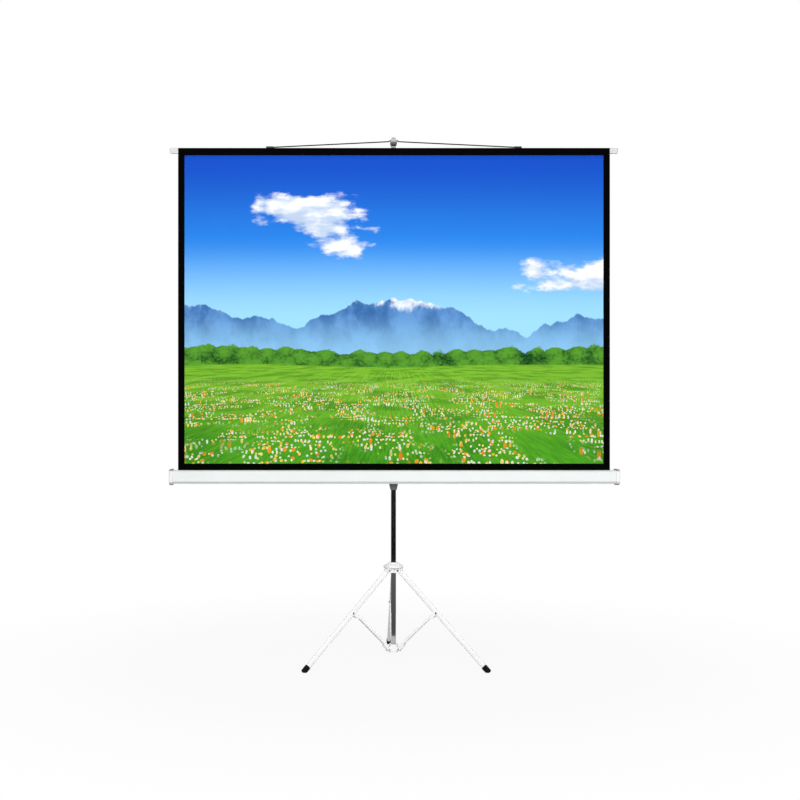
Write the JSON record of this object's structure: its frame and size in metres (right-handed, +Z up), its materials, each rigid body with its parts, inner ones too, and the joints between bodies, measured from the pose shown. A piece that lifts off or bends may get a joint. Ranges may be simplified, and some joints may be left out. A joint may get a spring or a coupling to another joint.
{
  "type": "tripod projection screen",
  "caption": "Free-standing tripod projection screen: roll-up bordered cloth in a slim case on a square mast with folding legs, held up by a wire bail on a telescoping hook.",
  "frame": {"origin": "the floor point on the mast's axis, midway between the three feet", "axes": "+Z up along the mast, +X along the case to the right of a viewer of the picture, -Y the way the picture faces"},
  "size_m": [1.821, 0.6489, 2.1465],
  "materials": {
    "white_paint": "satin powder coat",
    "white_plastic": "moulded, fine texture",
    "chrome": "bright plate",
    "grey_paint": "satin",
    "zinc_steel": "zinc plate",
    "bail_wire": "bright drawn wire",
    "black_plastic": "moulded",
    "inner_plastic": "natural",
    "black_rubber": "moulded",
    "bare_aluminium": "mill finish",
    "screen_fabric": "coated matt white cloth, black back",
    "border_fabric": "matt black"
  },
  "bodies": {
    "mast": {"mast_tube": "chrome", "base_hub": "white_plastic", "hub_pins": "zinc_steel", "mast_top_bush": "black_plastic"},
    "lock_knob": {"lock_knob": "black_plastic"},
    "brace_left": {"brace_left": "white_paint"},
    "brace_right": {"brace_right": "white_paint"},
    "brace_rear": {"brace_rear": "white_paint"},
    "leg_left": {"leg_left": "white_paint", "leg_plug_left": "inner_plastic", "foot_left": "black_rubber", "brace_rivet_left": "zinc_steel"},
    "leg_right": {"leg_right": "white_paint", "leg_plug_right": "inner_plastic", "foot_right": "black_rubber", "brace_rivet_right": "zinc_steel"},
    "leg_rear": {"leg_rear": "white_paint", "leg_plug_rear": "inner_plastic", "foot_rear": "black_rubber", "brace_rivet_rear": "zinc_steel"},
    "collar": {"leg_collar": "white_plastic", "collar_pins": "zinc_steel"},
    "carriage": {"carriage": "grey_paint", "lever_pin": "zinc_steel", "pivot_bolt": "zinc_steel", "pivot_nut": "zinc_steel", "case_saddle": "grey_paint", "saddle_rivets": "zinc_steel", "case_shell": "white_paint", "case_cap_left": "white_plastic", "case_cap_right": "white_plastic", "cap_screws": "zinc_steel", "spring_spindle": "zinc_steel", "spindle_collar": "zinc_steel", "screen_cloth": "screen_fabric"},
    "lever": {"release_lever": "black_plastic"},
    "roller": {"roller_tube": "bare_aluminium", "roller_plug_left": "inner_plastic", "roller_plug_right": "inner_plastic", "spring_anchor": "zinc_steel", "roller_spring": "zinc_steel", "cloth_roll": "screen_fabric"},
    "extension": {"extension_tube": "chrome", "extension_glide": "black_plastic", "hanger_hook": "chrome", "hook_rivet": "zinc_steel"},
    "slat": {"screen_hem": "border_fabric", "top_slat": "bare_aluminium", "slat_cap_left": "white_plastic", "slat_cap_right": "white_plastic", "bail_bracket_left": "black_plastic", "bail_bracket_right": "black_plastic", "bracket_rivets": "zinc_steel"},
    "bail": {"wire_bail": "bail_wire"}
  },
  "joints": [
    {"name": "leg_fold", "type": "hinge", "parent": "mast", "child": "brace_rear", "pos_m": [0, 0.027, 0.056], "axis": [1, 0, 0], "range_deg": [0, 43]},
    {"name": "brace_left_hinge", "type": "hinge", "parent": "mast", "child": "brace_left", "pos_m": [-0.02338, -0.0135, 0.056], "axis": [-0.5, 0.866, 0], "range_deg": [0, 43]},
    {"name": "brace_right_hinge", "type": "hinge", "parent": "mast", "child": "brace_right", "pos_m": [0.02338, -0.0135, 0.056], "axis": [-0.5, -0.866, 0], "range_deg": [0, 43]},
    {"name": "leg_rear_hinge", "type": "hinge", "parent": "brace_rear", "child": "leg_rear", "pos_m": [0, 0.19573, 0.21668], "axis": [1, 0, 0], "range_deg": [-86, 0]},
    {"name": "leg_left_hinge", "type": "hinge", "parent": "brace_left", "child": "leg_left", "pos_m": [-0.16951, -0.09787, 0.21668], "axis": [-0.5, 0.866, 0], "range_deg": [-86, 0]},
    {"name": "leg_right_hinge", "type": "hinge", "parent": "brace_right", "child": "leg_right", "pos_m": [0.16951, -0.09787, 0.21668], "axis": [-0.5, -0.866, 0], "range_deg": [-86, 0]},
    {"name": "collar_hinge", "type": "hinge", "parent": "leg_rear", "child": "collar", "pos_m": [0, 0.027, 0.37736], "axis": [1, 0, 0], "range_deg": [0, 43]},
    {"name": "height_slide", "type": "slide", "parent": "mast", "child": "carriage", "axis": [0, 0, 1], "range_m": [-0.1, 0.2]},
    {"name": "extension_slide", "type": "slide", "parent": "carriage", "child": "extension", "axis": [0, 0, 1], "range_m": [-0.72, 0], "deforming": ["screen_cloth"]},
    {"name": "slat_slide", "type": "slide", "parent": "carriage", "child": "slat", "axis": [0, 0, 1], "range_m": [-0.72, 0]},
    {"name": "roller_spin", "type": "hinge", "parent": "carriage", "child": "roller", "pos_m": [0, -0.0595, 0.7615], "axis": [1, 0, 0], "range_deg": [-2600, 0]},
    {"name": "bail_swing", "type": "hinge", "parent": "slat", "child": "bail", "pos_m": [0, -0.0368, 2.1004], "axis": [1, 0, 0], "range_deg": [0, 120]},
    {"name": "lever_press", "type": "hinge", "parent": "carriage", "child": "lever", "pos_m": [0, 0.022, 0.7695], "axis": [-1, 0, 0], "range_deg": [0, 12], "stiffness_Nm_per_rad": 0.5, "springref_deg": -5.73},
    {"name": "knob_turn", "type": "hinge", "parent": "mast", "child": "lock_knob", "pos_m": [0, 0.0205, 1.249], "axis": [0, 1, 0], "range_deg": [0, 270]}
  ],
  "couplings": [
    {"joint": "brace_left_hinge", "follows": "leg_fold", "ratio": 1},
    {"joint": "brace_right_hinge", "follows": "leg_fold", "ratio": 1},
    {"joint": "leg_rear_hinge", "follows": "leg_fold", "ratio": -2},
    {"joint": "leg_left_hinge", "follows": "leg_fold", "ratio": -2},
    {"joint": "leg_right_hinge", "follows": "leg_fold", "ratio": -2},
    {"joint": "collar_hinge", "follows": "leg_fold", "ratio": 1},
    {"joint": "slat_slide", "follows": "extension_slide", "ratio": 1},
    {"joint": "roller_spin", "follows": "extension_slide", "rad_per_m": 62.5}
  ]
}
